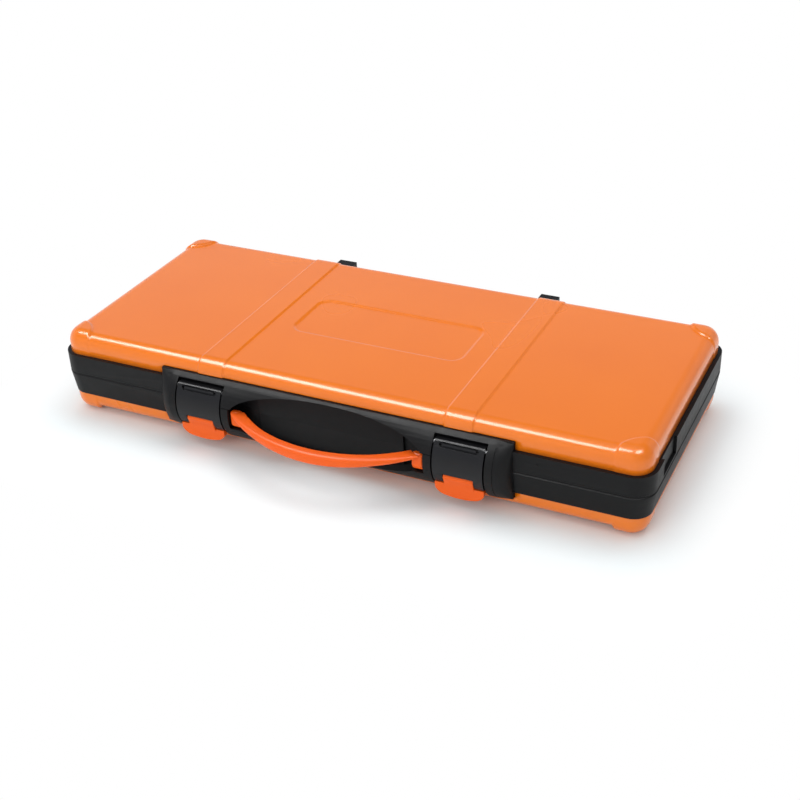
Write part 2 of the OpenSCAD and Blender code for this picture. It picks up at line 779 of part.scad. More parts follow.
// Curved body of a latch plate between two radii of the block's front
module plate_arc(r_in, x0, x1, z0, z1) {
    translate([x0, 0, 0]) intersection() {
        translate([0, block_y, block_mid_z]) rotate([0, 90, 0]) difference() {
            cylinder(r = block_r, h = x1 - x0, $fn = 128);
            translate([0, 0, -over]) cylinder(r = r_in, h = x1 - x0 + 2 * over, $fn = 128);
        }
        translate([0, cut_y, z0])
            cube([x1 - x0, channel_y - latch_back - cut_y, z1 - z0]);
    }
}

module latch_plate(side) {
    half = latch_w / 2;
    color("#303033") at_case() translate([side * latch_x, 0, 0]) difference() {
        union() {
            plate_arc(block_r - latch_t, -half, half, latch_foot_z, latch_top_z);
            for (s = [0, 1]) mirror([s, 0, 0]) {
                plate_arc(block_r - 3 * latch_t, half - flange_t, half, latch_foot_z, latch_pin_z);
                plate_arc(block_r - 2 * latch_t, notch_w / 2, half, latch_foot_z,
                          latch_foot_z + ear_h);
            }
            translate([-half, latch_pin_y, latch_pin_z]) rotate([0, 90, 0])
                cylinder(r = knuckle_r, h = latch_w);
        }
        translate([-notch_w / 2, cut_y, latch_foot_z - over])
            cube([notch_w, channel_y - cut_y, notch_h + over]);
        translate([-half - over, latch_pin_y, latch_pin_z]) rotate([0, 90, 0])
            cylinder(r = latch_pin_d / 2 + pin_clear, h = latch_w + 2 * over);
        translate([-half - over, tab_pin_y, tab_pin_z]) rotate([0, 90, 0])
            cylinder(r = tab_pin_d / 2 + pin_clear, h = latch_w + 2 * over);
        translate([0, block_y, block_mid_z]) rotate([90 - slot_tilt, 0, 0])
            translate([0, 0, block_r - slot_sink]) difference() {
                slot_form(slot_len, slot_w);
                translate([0, 0, -tiny]) slot_form(slot_len - slot_w, slot_bar);
            }
    }
}

// Upright block with round ends
module slot_form(len, w) {
    translate([-(len - w) / 2, -w / 2, 0]) cube([len - w, w, block_proud]);
    for (s = [-1, 1]) translate([s * (len - w) / 2, 0, 0]) cylinder(r = w / 2, h = block_proud);
}

module latch_pin(side) {
    length = 2 * pocket_half + 2 * latch_pin_grip - 2 * pin_clear;
    color("silver") at_case() translate([side * latch_x - length / 2, latch_pin_y, latch_pin_z])
        rotate([0, 90, 0]) cylinder(r = latch_pin_d / 2, h = length);
}

module release_tab(side) {
    boss_w = notch_w - 2 * latch_clear;
    color("#f06a28") at_case() translate([side * latch_x, 0, 0]) difference() {
        union() {
            translate([-boss_w / 2, tab_pin_y, tab_pin_z]) rotate([0, 90, 0])
                cylinder(r = tab_boss_r, h = boss_w);
            translate([neck_w / 2, 0, 0]) rotate([0, -90, 0]) linear_extrude(height = neck_w)
                polygon([
                    [tab_pin_z, tab_pin_y - tab_boss_r], [tab_pin_z, tab_pin_y + neck_t / 2],
                    [paddle_top_z + hook_h, tab_pin_y + neck_t / 2], [paddle_top_z, hook_y],
                    [paddle_top_z - hook_h, hook_y], [paddle_top_z - hook_h, paddle_front_y]
                ]);
            paddle();
        }
        translate([-latch_w, tab_pin_y, tab_pin_z]) rotate([0, 90, 0])
            cylinder(r = tab_pin_d / 2 + pin_clear, h = 2 * latch_w);
    }
}

module paddle() {
    half = paddle_w / 2;
    translate([0, paddle_front_y + paddle_t, paddle_top_z - paddle_h]) rotate([90, 0, 0])
        linear_extrude(height = paddle_t) {
            translate([-half, paddle_r]) square([paddle_w, paddle_h - paddle_r]);
            translate([-half + paddle_r, 0]) square([paddle_w - 2 * paddle_r, paddle_h]);
            for (s = [-1, 1]) intersection() {
                translate([-half, 0]) square([paddle_w, paddle_r]);
                translate([s * (half - paddle_r), paddle_r]) circle(paddle_r);
            }
        }
}

module tab_pin(side) {
    length = latch_w - 2 * pin_clear;
    color("silver") at_case() translate([side * latch_x - length / 2, tab_pin_y, tab_pin_z])
        rotate([0, 90, 0]) cylinder(r = tab_pin_d / 2, h = length);
}

module hinge_pin(side) {
    length = lug_w + 2 * lug_side_gap + 2 * ear_w;
    color("silver") at_case() translate([side * hinge_x - length / 2, hinge_y, hinge_z])
        rotate([0, 90, 0]) cylinder(r = hinge_pin_d / 2, h = length);
}

base_shell();
base_frame();
base_rivets();
tool_tray();
lid_shell();
lid_frame();
lid_rivets();
lid_foam();
handle();
handle_pin(-1);  // handle_pin_left
handle_pin(1);  // handle_pin_right
latch_plate(-1);  // latch_plate_left
latch_plate(1);  // latch_plate_right
latch_pin(-1);  // latch_pin_left
latch_pin(1);  // latch_pin_right
release_tab(-1);  // release_tab_left
release_tab(1);  // release_tab_right
tab_pin(-1);  // tab_pin_left
tab_pin(1);  // tab_pin_right
hinge_pin(-1);  // hinge_pin_left
hinge_pin(1);  // hinge_pin_right
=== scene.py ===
"""A flat hard tool case: orange pressed-sheet shells held in black belt frames.

Lengths are in millimetres, case-centred, until place() turns them into the model's metres.
"""

import bmesh
import bpy
import numpy as np
from mathutils import Matrix, Vector


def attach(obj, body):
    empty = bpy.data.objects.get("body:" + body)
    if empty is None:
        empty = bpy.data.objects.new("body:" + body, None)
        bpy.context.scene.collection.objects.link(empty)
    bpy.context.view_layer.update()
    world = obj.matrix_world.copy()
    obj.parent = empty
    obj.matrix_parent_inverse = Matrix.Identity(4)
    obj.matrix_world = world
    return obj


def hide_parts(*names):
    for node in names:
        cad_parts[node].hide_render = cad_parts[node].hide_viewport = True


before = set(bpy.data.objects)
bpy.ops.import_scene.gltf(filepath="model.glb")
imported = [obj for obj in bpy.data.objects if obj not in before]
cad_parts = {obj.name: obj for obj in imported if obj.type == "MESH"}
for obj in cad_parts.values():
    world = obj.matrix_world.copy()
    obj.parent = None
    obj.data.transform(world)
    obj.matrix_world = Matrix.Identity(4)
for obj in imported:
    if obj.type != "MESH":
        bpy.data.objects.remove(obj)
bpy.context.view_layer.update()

MM = 0.001
CASE_Y = 11.25

# Pressed shells: outer size, corner and edge radii, sheet, and the notch over the front block
SHELL_LEN = 394.0
SHELL_DEP = 164.0
SHELL_R = 11.0
EDGE_R = 8.0
SHEET_T = 1.0
GROOVE = 5.0
NOTCH_HALF = 119.2
LID_TOP = 57.0
LID_SKIRT = 43.0
LID_NOTCH = 48.7
BASE_BOTTOM = 2.5
BASE_SKIRT = 14.0
BASE_NOTCH = 9.6

# Rows of a pan: over the flat at a corner, and along each quarter turn
PANEL_ROWS = 6
QUARTER_STEPS = 19

# Reliefs pressed into the shells: places, heights and the width over which each one rises
BAND_X = 84.0
BAND_W = 18.0
BAND_H = 0.8
BAND_RISE = 1.6
PAD_R = 20.5
PAD_SIDE = 0.4
PAD_H = 1.5
PAD_RISE = 2.0
FOOT_H = 2.5
FOOT_RISE = 2.4
PLAQUE = (60.0, 23.5)
PLAQUE_R = 9.0
PLAQUE_SINK = 0.8
PLAQUE_RISE = 1.8
PLAQUE_INSET = 0.6

# Lid foam
FOAM_LEN = 376.4
FOAM_DEP = 146.4
FOAM_R = 12.0
FOAM_LOW = 49.0
FOAM_TOP = 56.0
FOAM_CROWN = 0.4
FOAM_STEP = 6.0

# Front block: its round, the end caps turned from a slightly smaller one, and the margins
# within which a point counts as lying on them
BLOCK_Y = -70.7
BLOCK_MID = 28.5
BLOCK_R = 24.0
CAP_ROUND = 23.5
CAP_R = 10.2335
CAP_START = 108.7665
CAP_LEAST = 0.05
CAP_FRONT_GAP = 0.25
CAP_SEAT_GAP = 0.02
NEAR = 0.01

# Latch plates: how far the slot's floor is from the block's middle, the slot's height above
# that middle, its tilt and how much deeper it is drawn
SLOT_FLOOR = 23.2
SLOT_RISE = 13.1
SLOT_TILT = np.arcsin(SLOT_RISE / BLOCK_R)
SLOT_EXTRA = 0.9

# Release tabs: width of a paddle, where its lower half starts and how far its ends lift
PADDLE_W = 31.0
PADDLE_MID = 13.0
PADDLE_LIFT = 0.4
PADDLE_CUTS = 15
PADDLE_CUT_SPAN = 0.42

# Handle
HANDLE_HALF = 65.6
ARM_W = 7.6
HANDLE_TOP = 32.5
HANDLE_T = 8.0
HANDLE_ARCH = 5.8
GRIP_OUT = -117.0
GRIP_IN = -109.8
ARM_OUT = -93.0
HANDLE_Y = -88.5
HANDLE_Z = 24.8
BOSS_R = 4.5
HANDLE_EDGE = 2.6
ARM_EDGE = 1.6

# How its skin is drawn: sections, how far the bow runs into the arms, how much of a thin
# section may be round, and how much the arms are slimmer and stand further out
BOW_SECTIONS = 129
BOW_REACH = 0.97
BOW_ROUND = 0.94
ARM_SECTIONS = 61
ARM_ROUND = 0.98
ARM_LEAST = 0.05
ARM_SLIM = 0.1
ARM_SHIFT = 0.05

# Mouldings: what counts as one corner (m), as one flat face and as a sharp edge (degrees)
SAME_POINT = 2e-6
SAME_FACE = 0.6
SHARP_EDGE = 32
HANDLE_SHARP_EDGE = 50
EDGE_STEPS = 3

# Table: radius, depth below the feet, rings and steps round it
TABLE_R = 1500.0
TABLE_LOW = 0.3
TABLE_RINGS = 13
TABLE_STEPS = 64

# About the case's half size on the table, and how far round it shadow and tint reach (m)
STANDS_ON = (0.19, 0.09, 0.0)
SHADOW_REACH = 0.075
TINT_REACH = 0.07

# Room that the case reflects, by direction: where its walls dim to the right and by how much,
# and where they end below the ceiling
DIM_SIDE = (0.1, 0.7)
DIM_SHARE = 0.6
WALL_TOP = (0.36, 0.66)

# Camera of the photograph
CAMERA_AZIMUTH = 26.38
CAMERA_ELEVATION = 30.92
CAMERA_ROLL = -2.35
CAMERA_DISTANCE = 0.8888
CAMERA_TARGET = (0.0066, 0.01125, 0.0051)
CAMERA_LENS = 60.37


# ---------------------------------------------------------------- colours and nodes

def linear(code):
    """sRGB hex to a linear colour: c / 12.92 below 0.04045, else ((c + 0.055) / 1.055) ^ 2.4."""
    srgb = np.array([int(code[i:i + 2], 16) for i in (1, 3, 5)]) / 255
    value = np.where(srgb <= 0.04045, srgb / 12.92, ((srgb + 0.055) / 1.055) ** 2.4)
    return (*value.tolist(), 1.0)


def per_mm(size):
    """Texture scale, in cycles per metre, of a pattern whose features are size millimetres."""
    return 1.0 / (size * MM)


def node(tree, kind, inputs=None, **settings):
    """Adds one shader node: settings are its own fields, inputs are values or sockets to link."""
    made = tree.nodes.new("ShaderNode" + kind)
    for name, value in settings.items():
        setattr(made, name, value)
    for name, value in (inputs or {}).items():
        socket = made.inputs[name]
        if isinstance(value, bpy.types.NodeSocket):
            tree.links.new(value, socket)
        else:
            socket.default_value = value
    return made


def new_material(name):
    """An empty node material with its output node."""
    material = bpy.data.materials.new(name)
    material.use_nodes = True
    material.node_tree.nodes.clear()
    output = material.node_tree.nodes.new("ShaderNodeOutputMaterial")
    return material, material.node_tree, output


def noise(tree, where, size, detail=2.0, rough=0.5):
    """Noise whose lumps are size millimetres across."""
    return node(tree, "TexNoise", {"Vector": where, "Scale": per_mm(size), "Detail": detail,
                                   "Roughness": rough}).outputs["Fac"]


def spread(tree, value, low, high):
    """Carries 0..1 noise to low..high."""
    return node(tree, "MapRange", {"Value": value, "From Min": 0.25, "From Max": 0.75,
                                   "To Min": low, "To Max": high}).outputs["Result"]


def blend(tree, value, span, low, high):
    """Goes smoothly from low to high while a value crosses a span."""
    return node(tree, "MapRange", {"Value": value, "From Min": span[0], "From Max": span[1],
                                   "To Min": low, "To Max": high},
                interpolation_type="SMOOTHSTEP").outputs["Result"]


def two_tone(tree, value, first, second):
    """Blends two close tones by a pattern."""
    mixed = node(tree, "Mix", data_type="RGBA")
    tree.links.new(value, mixed.inputs[0])
    mixed.inputs[6].default_value = linear(first)
    mixed.inputs[7].default_value = linear(second)
    return mixed.outputs[2]


def bump(tree, height, depth, under=None):
    """Bump of a pattern depth millimetres deep."""
    inputs = {"Height": height, "Distance": depth * MM, "Strength": 1.0}
    if under is not None:
        inputs["Normal"] = under
    return node(tree, "Bump", inputs).outputs["Normal"]


# ---------------------------------------------------------------- materials

def gloss_enamel_on_steel():
    """Sprayed enamel on pressed steel: an even wet gloss with the faintest orange peel."""
    material, tree, output = new_material("gloss_enamel_on_steel")
    where = node(tree, "TexCoord").outputs["Object"]
    peel = noise(tree, where, 5.0, 0.0)
    panel = noise(tree, where, 60.0, 1.0)
    shader = node(tree, "BsdfPrincipled", {
        "Base Color": two_tone(tree, spread(tree, panel, 0.0, 1.0), "#E9770C", "#E6730A"),
        "Roughness": spread(tree, panel, 0.27, 0.30),
        "Normal": bump(tree, peel, 0.0015),
        "IOR": 1.5, "Specular IOR Level": 0.4, "Coat Weight": 0.4, "Coat Roughness": 0.06})
    tree.links.new(shader.outputs[0], output.inputs[0])
    return material


def moulded_orange_abs():
    """Injection-moulded ABS, spark-eroded satin: softer highlights than the enamel, fine grain."""
    material, tree, output = new_material("moulded_orange_abs")
    where = node(tree, "TexCoord").outputs["Object"]
    grain = noise(tree, where, 0.7, 3.0)
    shader = node(tree, "BsdfPrincipled", {
        "Base Color": two_tone(tree, spread(tree, noise(tree, where, 22.0), 0.0, 1.0),
                               "#EC5E0D", "#E8590B"),
        "Roughness": spread(tree, noise(tree, where, 6.0), 0.36, 0.44),
        "Normal": bump(tree, grain, 0.02),
        "IOR": 1.52, "Specular IOR Level": 0.25})
    tree.links.new(shader.outputs[0], output.inputs[0])
    return material


def grained_black_polypropylene():
    """Moulded polypropylene with a fine eroded grain: charcoal with a low broad sheen.

    The grain is 0.4 mm on such cases and is drawn at 0.9 mm, so that it shows.
    """
    material, tree, output = new_material("grained_black_polypropylene")
    where = node(tree, "TexCoord").outputs["Object"]
    grain = noise(tree, where, 0.9, 3.0, 0.6)
    shader = node(tree, "BsdfPrincipled", {
        "Base Color": two_tone(tree, spread(tree, noise(tree, where, 30.0), 0.0, 1.0),
                               "#0F0F10", "#0C0C0D"),
        "Roughness": spread(tree, noise(tree, where, 5.0), 0.44, 0.52),
        "Normal": bump(tree, grain, 0.03),
        "IOR": 1.49, "Specular IOR Level": 0.2})
    tree.links.new(shader.outputs[0], output.inputs[0])
    return material


def polished_black_nylon():
    """Moulded nylon from a smoother tool: darker and glossier than the frames around it."""
    material, tree, output = new_material("polished_black_nylon")
    where = node(tree, "TexCoord").outputs["Object"]
    shader = node(tree, "BsdfPrincipled", {
        "Base Color": two_tone(tree, spread(tree, noise(tree, where, 12.0), 0.0, 1.0),
                               "#101013", "#0D0D10"),
        "Roughness": spread(tree, noise(tree, where, 4.0), 0.34, 0.40),
        "Normal": bump(tree, noise(tree, where, 1.2), 0.002),
        "IOR": 1.53, "Specular IOR Level": 0.28})
    tree.links.new(shader.outputs[0], output.inputs[0])
    return material


def vacuum_formed_tray_sheet():
    """Vacuum-formed polystyrene sheet: dull charcoal with a fine pebble from its upper face."""
    material, tree, output = new_material("vacuum_formed_tray_sheet")
    where = node(tree, "TexCoord").outputs["Object"]
    cells = node(tree, "TexVoronoi", {"Vector": where, "Scale": per_mm(1.3)},
                 feature="SMOOTH_F1").outputs["Distance"]
    shader = node(tree, "BsdfPrincipled", {
        "Base Color": two_tone(tree, spread(tree, noise(tree, where, 25.0), 0.0, 1.0),
                               "#333336", "#2D2D30"),
        "Roughness": spread(tree, noise(tree, where, 4.0), 0.50, 0.60),
        "Normal": bump(tree, cells, 0.05),
        "IOR": 1.55})
    tree.links.new(shader.outputs[0], output.inputs[0])
    return material


def zinc_plated_steel():
    """Turned steel pins with bright zinc: fine rings round X under a soft mirror."""
    material, tree, output = new_material("zinc_plated_steel")
    where = node(tree, "TexCoord").outputs["Object"]
    along = node(tree, "Mapping", {"Vector": where, "Scale": (1.0, 0.08, 0.08)}).outputs[0]
    rings = noise(tree, along, 0.35, 2.0)
    shader = node(tree, "BsdfPrincipled", {
        "Base Color": two_tone(tree, spread(tree, noise(tree, where, 3.0), 0.0, 1.0),
                               "#C2C3C4", "#AFB1B4"),
        "Metallic": 1.0,
        "Roughness": spread(tree, rings, 0.24, 0.38),
        "Normal": bump(tree, rings, 0.01)})
    tree.links.new(shader.outputs[0], output.inputs[0])
    return material


def closed_cell_foam():
    """Skived polyethylene foam: matt charcoal whose cut cells show as a fine pitted skin, with each
    pit painted darker as shade.
    """
    material, tree, output = new_material("closed_cell_foam")
    where = node(tree, "TexCoord").outputs["Object"]
    cells = node(tree, "TexVoronoi", {"Vector": where, "Scale": per_mm(1.6)}).outputs["Distance"]
    shader = node(tree, "BsdfPrincipled", {
        # Base colour darkens into each cell's pit, the same cells as the bump: painted shade in the
        # pits
        "Base Color": two_tone(tree, cells, "#2E2E31", "#4A4A4E"),
        "Roughness": 0.93,
        "Normal": bump(tree, cells, 0.25, bump(tree, noise(tree, where, 14.0), 0.3)),
        "IOR": 1.4, "Sheen Weight": 0.1, "Sheen Roughness": 0.6})
    tree.links.new(shader.outputs[0], output.inputs[0])
    return material


def white_table():
    """Matt white card, a little cool beside the case against the orange light that it throws.

    It takes the case's shadow nearby and turns to plain white further off.
    """
    material, tree, output = new_material("white_table")
    where = node(tree, "TexCoord").outputs["Object"]
    plain = node(tree, "Emission", {"Color": linear("#FFFFFF"), "Strength": 1.0})
    apart = node(tree, "VectorMath", {0: where}, operation="ABSOLUTE").outputs[0]
    apart = node(tree, "VectorMath", {0: apart, 1: STANDS_ON}, operation="SUBTRACT").outputs[0]
    apart = node(tree, "VectorMath", {0: apart, 1: (0.0, 0.0, 0.0)},
                 operation="MAXIMUM").outputs[0]
    reach = node(tree, "VectorMath", {0: apart}, operation="LENGTH").outputs["Value"]
    tint = node(tree, "MapRange", {"Value": reach, "From Max": TINT_REACH}).outputs["Result"]
    card = node(tree, "BsdfDiffuse", {"Color": two_tone(tree, tint, "#F0F8FA", "#FCFDFE")})
    far = blend(tree, reach, (0.0, SHADOW_REACH), 0.0, 1.0)
    path = node(tree, "LightPath")
    seen = node(tree, "Math", {0: path.outputs["Is Camera Ray"], 1: path.outputs["Is Glossy Ray"]},
                operation="MAXIMUM").outputs[0]
    seen = node(tree, "Math", {0: seen, 1: path.outputs["Is Transmission Ray"]},
                operation="MAXIMUM").outputs[0]
    share = node(tree, "Math", {0: far, 1: seen}, operation="MULTIPLY").outputs[0]
    both = node(tree, "MixShader", {0: share, 1: card.outputs[0], 2: plain.outputs[0]})
    tree.links.new(both.outputs[0], output.inputs[0])
    return material


# ---------------------------------------------------------------- mesh making

def place(points):
    """Case millimetres to the model's metres: (p + [0, CASE_Y, 0]) / 1000."""
    return (np.asarray(points, float) + [0.0, CASE_Y, 0.0]) * MM


def case_points(mesh):
    """A mesh's points in case millimetres, the reverse of place()."""
    flat = np.empty(len(mesh.vertices) * 3)
    mesh.vertices.foreach_get("co", flat)
    return flat.reshape(-1, 3) / MM - [0.0, CASE_Y, 0.0]


def set_points(mesh, points):
    """Writes points in case millimetres back to a mesh."""
    mesh.vertices.foreach_set("co", place(points).ravel())
    mesh.update()


def mesh_object(name, points, faces, body):
    """One piece from points in case millimetres and a list of face arrays, doubles merged."""
    mesh = bpy.data.meshes.new(name)
    mesh.from_pydata(place(points).tolist(), [], [f for block in faces for f in block.tolist()])
    work = bmesh.new()
    work.from_mesh(mesh)
    bmesh.ops.remove_doubles(work, verts=work.verts, dist=1e-6)
    work.to_mesh(mesh)
    work.free()
    mesh.shade_smooth()
    piece = bpy.data.objects.new(name, mesh)
    bpy.context.scene.collection.objects.link(piece)
    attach(piece, body)
    return piece


def graded(*spans):
    """Grid lines from 0 outwards, each span (start, end, step), mirrored to the negative side."""
    lines = np.concatenate([np.linspace(a, b, int(np.ceil((b - a) / step)) + 1)
                            for a, b, step in spans])
    return np.unique(np.round(np.concatenate([-lines, lines]), 4))


def soft_step(inside, width):
    """Smooth 0 to 1 as a signed distance goes from -width/2 to width/2: t^2 (3 - 2 t)."""
    t = np.clip(inside / width + 0.5, 0.0, 1.0)
    return t * t * (3.0 - 2.0 * t)


def inside_plate(x, y, half, radius):
    """Signed distance into a rounded rectangle of that half size and corner radius."""
    qx = np.abs(x) - (half[0] - radius)
    qy = np.abs(y) - (half[1] - radius)
    outside = np.hypot(np.maximum(qx, 0), np.maximum(qy, 0))
    return radius - outside - np.minimum(np.maximum(qx, qy), 0)


def edge_profile(radius, edge, depth, notch):
    """Rows from a corner's middle out over a rounded edge and down a skirt.

    reach is the distance from the corner's middle, drop the depth below the panel and tilt the
    angle of the surface: flat to radius - edge, then an arc reach = radius - edge + edge sin(tilt),
    drop = edge (1 - cos(tilt)), then a straight skirt. One row lies exactly at the notch's depth.
    """
    flat = np.linspace(0.0, radius - edge, PANEL_ROWS)[:-1]
    tilt = np.radians(np.linspace(0.0, 90.0, QUARTER_STEPS))
    straight = np.array([depth])
    if notch < edge:
        tilt = np.sort(np.append(tilt, np.arccos(1.0 - notch / edge)))
    else:
        straight = np.array([notch, depth])
    reach = np.concatenate([flat, radius - edge + edge * np.sin(tilt), radius + 0 * straight])
    drop = np.concatenate([0 * flat, edge * (1.0 - np.cos(tilt)), straight])
    angle = np.concatenate([0 * flat, tilt, np.pi / 2 + 0 * straight])
    return reach, drop, angle


def pan_patches(length, depth, radius, profile, x_lines, y_lines):
    """The nine patches of a pan: points and normals, panel at height 0, skirt downwards.

    The panel is the grid of x and y lines. Each side carries the profile along its lines, and
    each corner turns it through 90 degrees: point = middle + reach (cos a, sin a) - drop z,
    normal = sin(tilt) (cos a, sin a) + cos(tilt) z.
    """
    reach, drop, tilt = profile
    half_x, half_y = length / 2 - radius, depth / 2 - radius
    turn = np.radians(np.linspace(0.0, 90.0, QUARTER_STEPS))
    runs = []
    for side in (-1.0, 1.0):
        runs.append((x_lines, side * half_y, 0.0, side))
        runs.append((side * half_x, y_lines, side, 0.0))
    for sx in (-1.0, 1.0):
        for sy in (-1.0, 1.0):
            runs.append((sx * half_x, sy * half_y, sx * np.cos(turn), sy * np.sin(turn)))
    patches = []
    grid_x, grid_y = np.meshgrid(x_lines, y_lines)
    flat = np.stack([grid_x, grid_y, 0 * grid_x], -1)
    patches.append((flat, np.broadcast_to([0.0, 0.0, 1.0], flat.shape)))
    for cx, cy, dx, dy in runs:
        cx, cy, dx, dy = np.broadcast_arrays(cx, cy, dx, dy)
        points = np.stack([cx + reach[:, None] * dx, cy + reach[:, None] * dy,
                           -drop[:, None] + 0 * cx], -1)
        normals = np.stack([np.sin(tilt)[:, None] * dx, np.sin(tilt)[:, None] * dy,
                            np.cos(tilt)[:, None] + 0 * cx], -1)
        patches.append((points, normals))
    return patches


def patch_faces(points, normals, first):
    """Quads of a grid, turned so that each one's own normal agrees with the surface's."""
    rows, cols = points.shape[:2]
    corner = first + np.arange(rows - 1)[:, None] * cols + np.arange(cols - 1)
    quads = np.stack([corner, corner + 1, corner + cols + 1, corner + cols], -1)
    diagonal = points[1:, 1:] - points[:-1, :-1]
    other = points[1:, :-1] - points[:-1, 1:]
    turned = (np.cross(diagonal, other) * normals[:-1, :-1]).sum(-1) < 0
    return np.where(turned[..., None], quads[..., ::-1], quads)


def lid_relief(x, y, upward):
    """How far the lid's sheet is pressed out: bands and corner pads out, plaque in."""
    band = BAND_H * soft_step(BAND_W / 2 - np.abs(np.abs(x) - BAND_X), BAND_RISE)
    band = band * (np.abs(x) < SHELL_LEN / 2 - SHELL_R)
    from_corner = np.hypot(np.abs(x) - SHELL_LEN / 2, np.abs(y) - SHELL_DEP / 2)
    pad = PAD_SIDE + (PAD_H - PAD_SIDE) * upward
    pad = pad * soft_step(PAD_R - PAD_RISE / 2 - from_corner, PAD_RISE)
    inside = inside_plate(x, y, PLAQUE, PLAQUE_R)
    sunk = PLAQUE_SINK * soft_step(inside - PLAQUE_INSET, PLAQUE_RISE)
    return band + pad - sunk * (upward > 0.999)


def base_relief(x, y, upward):
    """How far the base's sheet is pressed out: the four corner feet."""
    from_corner = np.hypot(np.abs(x) - SHELL_LEN / 2, np.abs(y) - SHELL_DEP / 2)
    foot = PAD_SIDE + (FOOT_H - PAD_SIDE) * upward
    return foot * soft_step(PAD_R - FOOT_RISE / 2 - from_corner, FOOT_RISE)


def pressed_shell(name, panel_z, skirt_z, notch_z, relief, x_lines, y_lines, body):
    """A shell of sheet metal: a pan displaced along its normals by its relief.

    Over the front block the skirt ends at the notch. panel_z above skirt_z makes a lid, below
    it a base, which is the same pan turned over.
    """
    facing = 1.0 if panel_z > skirt_z else -1.0
    depth = abs(panel_z - skirt_z) + GROOVE
    notch = abs(panel_z - notch_z)
    profile = edge_profile(SHELL_R, EDGE_R, depth, notch)
    patches = pan_patches(SHELL_LEN, SHELL_DEP, SHELL_R, profile, x_lines, y_lines)
    all_points, all_faces, first = [], [], 0
    for points, normals in patches:
        out = relief(points[..., 0], points[..., 1], normals[..., 2] ** 2)
        moved = points + normals * out[..., None]
        height = points[..., 2]
        upright = np.array([1.0, 1.0, facing])
        faces = patch_faces(points * upright, normals * upright, first)
        middle_x = (points[:-1, :-1, 0] + points[1:, 1:, 0]) / 2
        middle_y = (points[:-1, :-1, 1] + points[1:, 1:, 1]) / 2
        below = height[:-1, :-1] < -notch + 1e-4
        gone = below & (np.abs(middle_x) < NOTCH_HALF) & (middle_y < -SHELL_DEP / 2 + SHELL_R)
        all_points.append((moved * upright + [0.0, 0.0, panel_z]).reshape(-1, 3))
        all_faces.append(faces[~gone])
        first += points.shape[0] * points.shape[1]
    shell = mesh_object(name, np.concatenate(all_points), all_faces, body)
    sheet = shell.modifiers.new("sheet", "SOLIDIFY")
    sheet.thickness = SHEET_T * MM
    sheet.offset = -1.0
    return shell


def foam_slab(name, body):
    """A slab of foam: two pans rim to rim, each face crowned by FOAM_CROWN (1 - u^2)(1 - v^2)."""
    edge = (FOAM_TOP - FOAM_LOW) / 2
    profile = edge_profile(FOAM_R, edge, edge, edge)
    lines = [graded((0.0, size / 2 - FOAM_R, FOAM_STEP)) for size in (FOAM_LEN, FOAM_DEP)]
    all_points, all_faces, first = [], [], 0
    for facing in (1.0, -1.0):
        upright = np.array([1.0, 1.0, facing])
        for points, normals in pan_patches(FOAM_LEN, FOAM_DEP, FOAM_R, profile, *lines):
            u = 2 * points[..., 0] / FOAM_LEN
            v = 2 * points[..., 1] / FOAM_DEP
            dish = FOAM_CROWN * (1 - (1 - u ** 2) * (1 - v ** 2)) * normals[..., 2]
            moved = points - normals * dish[..., None]
            all_faces.append(patch_faces(points * upright, normals * upright, first).reshape(-1, 4))
            all_points.append((moved * upright + [0, 0, FOAM_LOW + edge + facing * edge])
                              .reshape(-1, 3))
            first += points.shape[0] * points.shape[1]
    return mesh_object(name, np.concatenate(all_points), all_faces, body)


def drawn_out_ends(mesh):
    """Draws the block's end caps out to full height: sin a = (|x| - X0) / p, x' = X0 + CAP_R sin a.

    p(z) = CAP_R - CAP_ROUND + sqrt(CAP_ROUND^2 - (z - BLOCK_MID)^2) is how far a cap stands out
    at a height. Only points on the caps move, between the block's round and its seat.
    """
    points = case_points(mesh)
    x, y, up = points[:, 0], points[:, 1], points[:, 2] - BLOCK_MID
    stands_out = CAP_R - CAP_ROUND + np.sqrt(np.maximum(CAP_ROUND ** 2 - up ** 2, 0.0))
    block_front = BLOCK_Y - np.sqrt(np.maximum(BLOCK_R ** 2 - up ** 2, 0.0))
    seat = BLOCK_Y - CAP_ROUND + CAP_R
    sine = np.clip((np.abs(x) - CAP_START) / np.maximum(stands_out, CAP_LEAST), 0.0, 1.0)
    beside = (np.abs(x) > CAP_START) & (np.abs(x) < CAP_START + CAP_R + NEAR)
    on_cap = beside & (y > block_front + CAP_FRONT_GAP) & (y < seat - CAP_SEAT_GAP)
    points[:, 0] = np.where(on_cap, np.sign(x) * (CAP_START + CAP_R * sine), x)
    set_points(mesh, points)


def deeper_slot(mesh):
    """Sinks a latch slot's floor: d' = d - SLOT_EXTRA for the points at d = SLOT_FLOOR.

    d = -(y - BLOCK_Y) cos t + (z - BLOCK_MID) sin t is the distance from the middle of the
    block's round along the slot's tilt t.
    """
    points = case_points(mesh)
    out = np.array([0.0, -np.cos(SLOT_TILT), np.sin(SLOT_TILT)])
    distance = (points - [0.0, BLOCK_Y, BLOCK_MID]) @ out
    points -= np.where(np.abs(distance - SLOT_FLOOR) < NEAR, SLOT_EXTRA, 0.0)[:, None] * out
    set_points(mesh, points)


